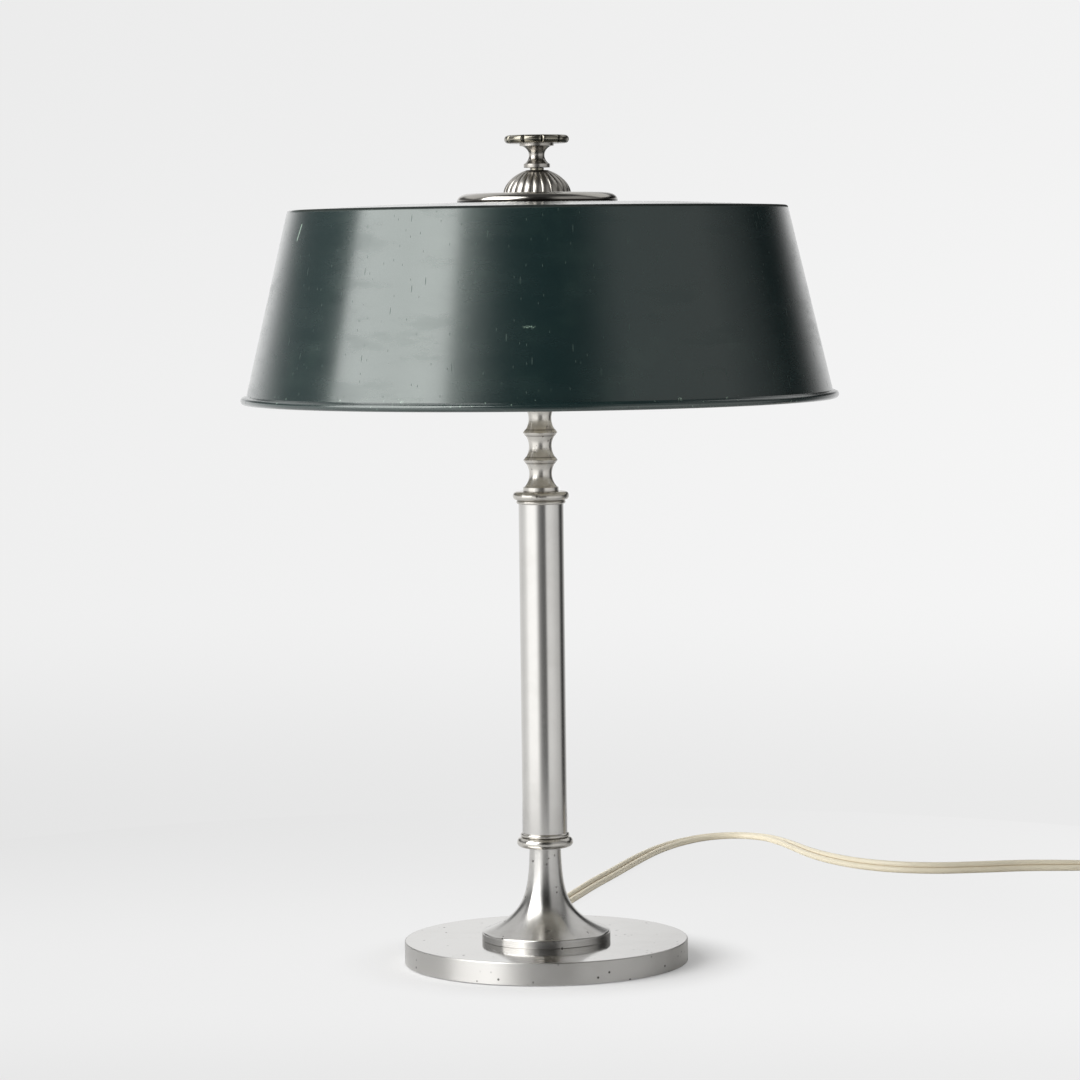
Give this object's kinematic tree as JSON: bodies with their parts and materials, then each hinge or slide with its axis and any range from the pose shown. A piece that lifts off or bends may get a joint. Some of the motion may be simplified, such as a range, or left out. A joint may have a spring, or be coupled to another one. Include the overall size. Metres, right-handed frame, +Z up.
{
  "type": "bouillotte lamp",
  "caption": "Metal table lamp with a round weighted base, flared foot, plain column, coved stem, wide cone shade with closed top, fluted dome and a scalloped switch knob.",
  "frame": {"origin": "on the table, at the centre of the underside of the base", "axes": "+Z up along the column, -Y to the front, +Y to the rear where the cord leaves, +X to the right; the lampholders lie along X"},
  "size_m": [0.6399, 0.6319, 0.4647],
  "materials": {
    "pewter": "satin pewter-coloured metal with fine turning marks, small pits and dents",
    "dark_pewter": "warmer, darker patinated pewter-coloured metal",
    "lacquer": "dark blue-green satin lacquer with fine flecks, scratches and chips at the rim",
    "steel": "zinc-plated steel",
    "iron": "cast iron, black",
    "brass": "turned brass",
    "holder_metal": "nickel-plated sheet",
    "porcelain": "glazed porcelain",
    "bulb_metal": "aluminium screw cap",
    "opal_glass": "opal glass",
    "phenolic": "brown phenolic moulding",
    "felt": "green wool felt",
    "flex_cover": "aged ivory flexible cover",
    "tie_wire": "black tie band",
    "plug_moulding": "ivory moulded plug",
    "pin_metal": "nickel-plated brass pins"
  },
  "bodies": {
    "lamp": {"felt_pad": "felt", "base_cover": "steel", "cover_screws": "steel", "ballast_disc": "iron", "base_shell": "pewter", "base_nut": "brass", "base_washer": "steel", "cord_bush": "flex_cover", "flared_foot": "pewter", "lower_collar": "pewter", "column_tube": "pewter", "upper_collar": "pewter", "turned_stem": "pewter", "lamp_tube": "steel", "inner_flex": "flex_cover", "cluster_body": "brass", "cluster_nut": "brass", "cluster_lid": "brass", "nipple_left": "steel", "nipple_right": "steel", "holder_cap_left": "holder_metal", "holder_cap_right": "holder_metal", "holder_shell_left": "holder_metal", "holder_shell_right": "holder_metal", "holder_core_left": "porcelain", "holder_core_right": "porcelain", "holder_thread_left": "brass", "holder_thread_right": "brass", "holder_contact_left": "brass", "holder_contact_right": "brass", "bulb_cap_left": "bulb_metal", "bulb_cap_right": "bulb_metal", "bulb_glass_left": "opal_glass", "bulb_glass_right": "opal_glass", "switch_body": "phenolic", "switch_base": "phenolic", "switch_screws": "steel", "switch_blades": "brass", "hanger_tube": "steel", "spindle_bush": "dark_pewter", "shade_seat": "brass", "shade_cone": "lacquer", "shade_top": "lacquer", "rim_wire": "steel", "cap_disc": "pewter", "fluted_dome": "pewter", "dome_insert": "brass", "mains_cord": "flex_cover", "cord_coil": "flex_cover", "coil_tie": "tie_wire", "plug_lead": "flex_cover", "plug_body": "plug_moulding", "plug_pins": "pin_metal"},
    "knob": {"switch_rotor": "porcelain", "switch_spindle": "steel", "knob_spool": "pewter", "knob_disc": "dark_pewter", "knob_screw": "steel"}
  },
  "joints": [
    {"name": "switch_turn", "type": "hinge", "parent": "lamp", "child": "knob", "pos_m": [0, 0, 0.46], "axis": [0, 0, 1], "continuous": true}
  ]
}
